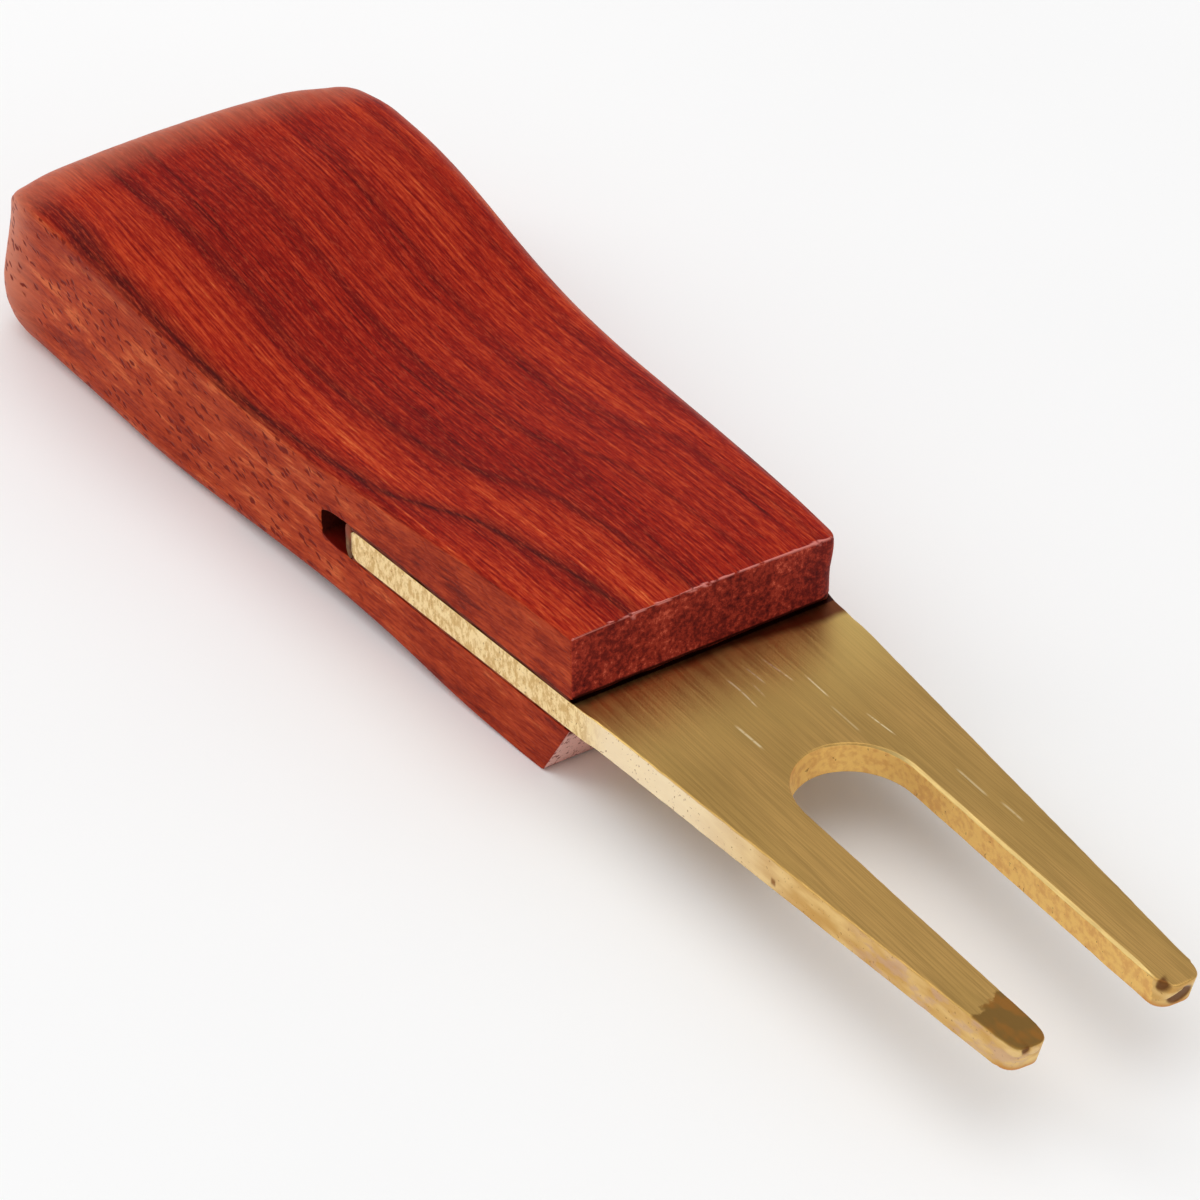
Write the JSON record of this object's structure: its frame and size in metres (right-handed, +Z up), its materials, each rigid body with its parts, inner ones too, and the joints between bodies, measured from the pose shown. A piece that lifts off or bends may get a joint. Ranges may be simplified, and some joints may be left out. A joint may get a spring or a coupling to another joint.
{
  "type": "divot repair tool",
  "caption": "Wedge-shaped sanded hardwood handle with a side-open saw kerf holding a flat tapered brass fork with straight blunt prongs.",
  "frame": {"origin": "middle of the tool's bounding box in plan, on the surface it lies on", "axes": "+X along the tool from the handle's butt to the prong tips, +Z up and square to the blade, Y across the tool"},
  "size_m": [0.1174, 0.0314, 0.0136],
  "materials": {
    "handle_wood": "oiled satin padauk, streaked along the grain",
    "fork_brass": "brushed along the blade, lightly tarnished",
    "cured_epoxy": "dark cured glue line",
    "glue_and_sawdust": "glue mixed with sawdust"
  },
  "bodies": {
    "root": {"handle": "handle_wood", "fork_blade": "fork_brass", "upper_glue_line": "cured_epoxy", "lower_glue_line": "cured_epoxy", "rear_glue_bead": "glue_and_sawdust"}
  },
  "joints": []
}
